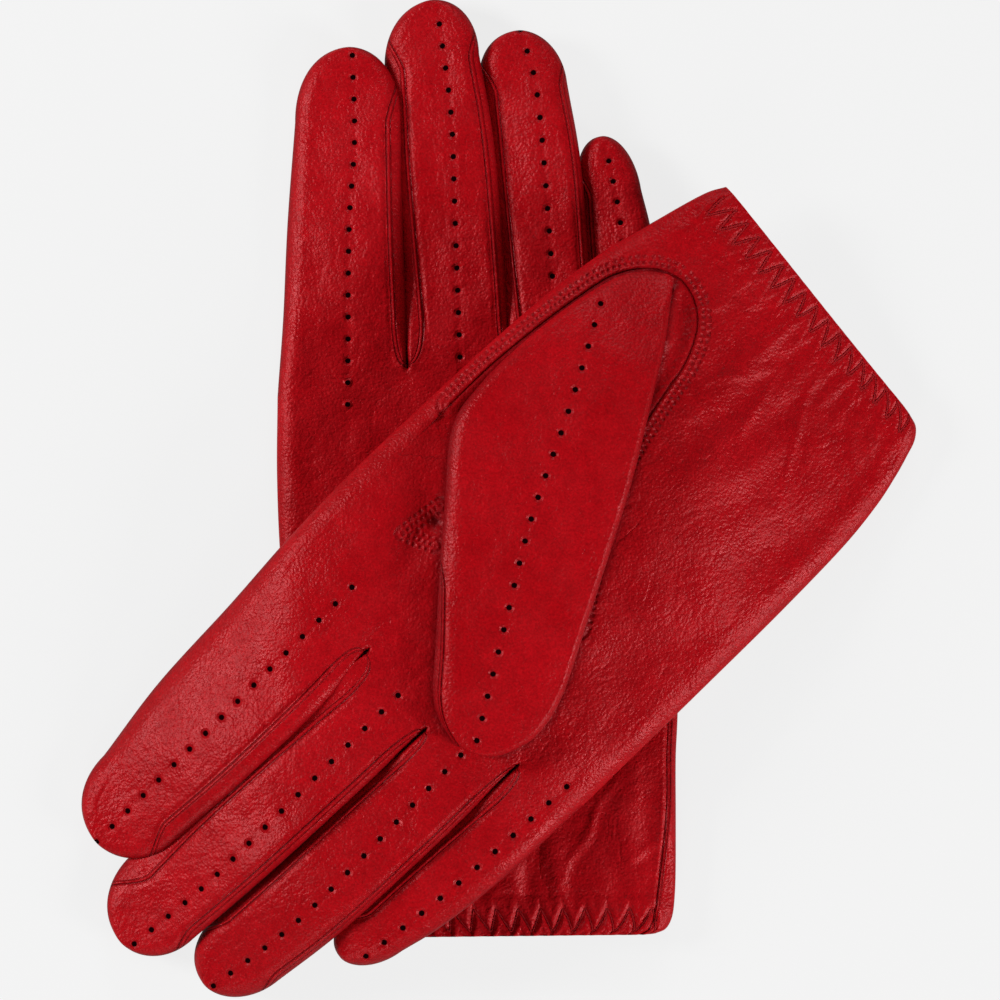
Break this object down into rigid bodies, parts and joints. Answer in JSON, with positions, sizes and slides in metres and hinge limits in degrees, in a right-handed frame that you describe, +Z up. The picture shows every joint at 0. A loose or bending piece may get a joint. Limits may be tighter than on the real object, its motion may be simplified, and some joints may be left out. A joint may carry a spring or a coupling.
{
  "type": "pair of leather driving gloves",
  "caption": "Pair of unlined full-finger leather driving gloves lying palm up and crossed, with perforated fingers, folded thumbs, side strips and elasticated cuffs.",
  "frame": {"origin": "bottom centre of the bounding box of the pair as it lies crossed, on the surface it lies on", "axes": "+Z up out of the surface and out of the palms, +Y along the left glove towards its fingertips (within 4 degrees) and the longest extent, +X to the cuff side of the upper, right glove"},
  "size_m": [0.2184, 0.2576, 0.0384],
  "materials": {
    "red_leather": "smooth grain leather with a satin sheen, in red",
    "seam_leather": "the same leather, turned and pressed at the seams",
    "sewing_thread": "matching red thread",
    "elastic_webbing": "woven elastic, dark red"
  },
  "bodies": {
    "left_hand": {"left_hand_trank": "red_leather", "left_crotch_gusset_index_middle": "seam_leather", "left_crotch_gusset_middle_ring": "seam_leather", "left_crotch_gusset_ring_pinky": "seam_leather", "left_thumb_root": "red_leather", "left_thumb_welt": "seam_leather", "left_thumb_quirk": "seam_leather", "left_side_seam_welt": "seam_leather", "left_cuff_elastic": "elastic_webbing", "left_cuff_zigzag_thread": "sewing_thread", "left_thumb_tip": "red_leather"},
    "left_index": {"left_index_sleeve": "red_leather", "left_index_fourchette_outer": "seam_leather"},
    "left_middle": {"left_middle_sleeve": "red_leather", "left_middle_fourchette_outer": "seam_leather", "left_middle_fourchette_inner": "seam_leather"},
    "left_ring": {"left_ring_sleeve": "red_leather", "left_ring_fourchette_outer": "seam_leather", "left_ring_fourchette_inner": "seam_leather"},
    "left_pinky": {"left_pinky_sleeve": "red_leather", "left_pinky_fourchette_inner": "seam_leather"},
    "right_hand": {"right_hand_trank": "red_leather", "right_crotch_gusset_index_middle": "seam_leather", "right_crotch_gusset_middle_ring": "seam_leather", "right_crotch_gusset_ring_pinky": "seam_leather", "right_thumb_root": "red_leather", "right_thumb_welt": "seam_leather", "right_thumb_quirk": "seam_leather", "right_side_seam_welt": "seam_leather", "right_cuff_elastic": "elastic_webbing", "right_cuff_zigzag_thread": "sewing_thread"},
    "right_index": {"right_index_sleeve": "red_leather", "right_index_fourchette_outer": "seam_leather"},
    "right_middle": {"right_middle_sleeve": "red_leather", "right_middle_fourchette_outer": "seam_leather", "right_middle_fourchette_inner": "seam_leather"},
    "right_ring": {"right_ring_sleeve": "red_leather", "right_ring_fourchette_outer": "seam_leather", "right_ring_fourchette_inner": "seam_leather"},
    "right_pinky": {"right_pinky_sleeve": "red_leather", "right_pinky_fourchette_inner": "seam_leather"},
    "right_thumb": {"right_thumb_tip": "red_leather"}
  },
  "joints": [
    {"name": "left_index_curl", "type": "hinge", "parent": "left_hand", "child": "left_index", "pos_m": [-0.03798, 0.03854, 0.0098], "axis": [0.9996, 0.0296, 0], "range_deg": [0, 75]},
    {"name": "left_middle_curl", "type": "hinge", "parent": "left_hand", "child": "left_middle", "pos_m": [-0.00954, 0.04354, 0.0098], "axis": [0.9975, 0.0708, 0], "range_deg": [0, 75]},
    {"name": "left_ring_curl", "type": "hinge", "parent": "left_hand", "child": "left_ring", "pos_m": [0.01235, 0.06612, 0.0098], "axis": [0.9965, 0.0842, 0], "range_deg": [0, 75]},
    {"name": "left_pinky_curl", "type": "hinge", "parent": "left_hand", "child": "left_pinky", "pos_m": [0.03272, 0.07406, 0.0098], "axis": [0.9964, 0.085, 0], "range_deg": [0, 75]},
    {"name": "right_glove_lift", "type": "slide", "parent": "left_hand", "child": "right_hand", "axis": [0, 0, 1], "range_m": [0, 0.12]},
    {"name": "right_index_curl", "type": "hinge", "parent": "right_hand", "child": "right_index", "pos_m": [-0.05277, -0.03405, 0.02855], "axis": [-0.6957, 0.6883, -0.2056], "range_deg": [0, 75]},
    {"name": "right_middle_curl", "type": "hinge", "parent": "right_hand", "child": "right_middle", "pos_m": [-0.03538, -0.05712, 0.0299], "axis": [-0.6812, 0.7321, 0], "range_deg": [0, 75]},
    {"name": "right_ring_curl", "type": "hinge", "parent": "right_hand", "child": "right_ring", "pos_m": [-0.01773, -0.07312, 0.0299], "axis": [-0.6712, 0.741, 0.0216], "range_deg": [0, 75]},
    {"name": "right_pinky_curl", "type": "hinge", "parent": "right_hand", "child": "right_pinky", "pos_m": [0.00141, -0.08411, 0.02735], "axis": [-0.6578, 0.7273, 0.1957], "range_deg": [0, 75]},
    {"name": "right_thumb_curl", "type": "hinge", "parent": "right_hand", "child": "right_thumb", "pos_m": [0.01361, -0.00953, 0.0389], "axis": [-0.959, 0.2813, 0.0342], "range_deg": [0, 80]}
  ]
}
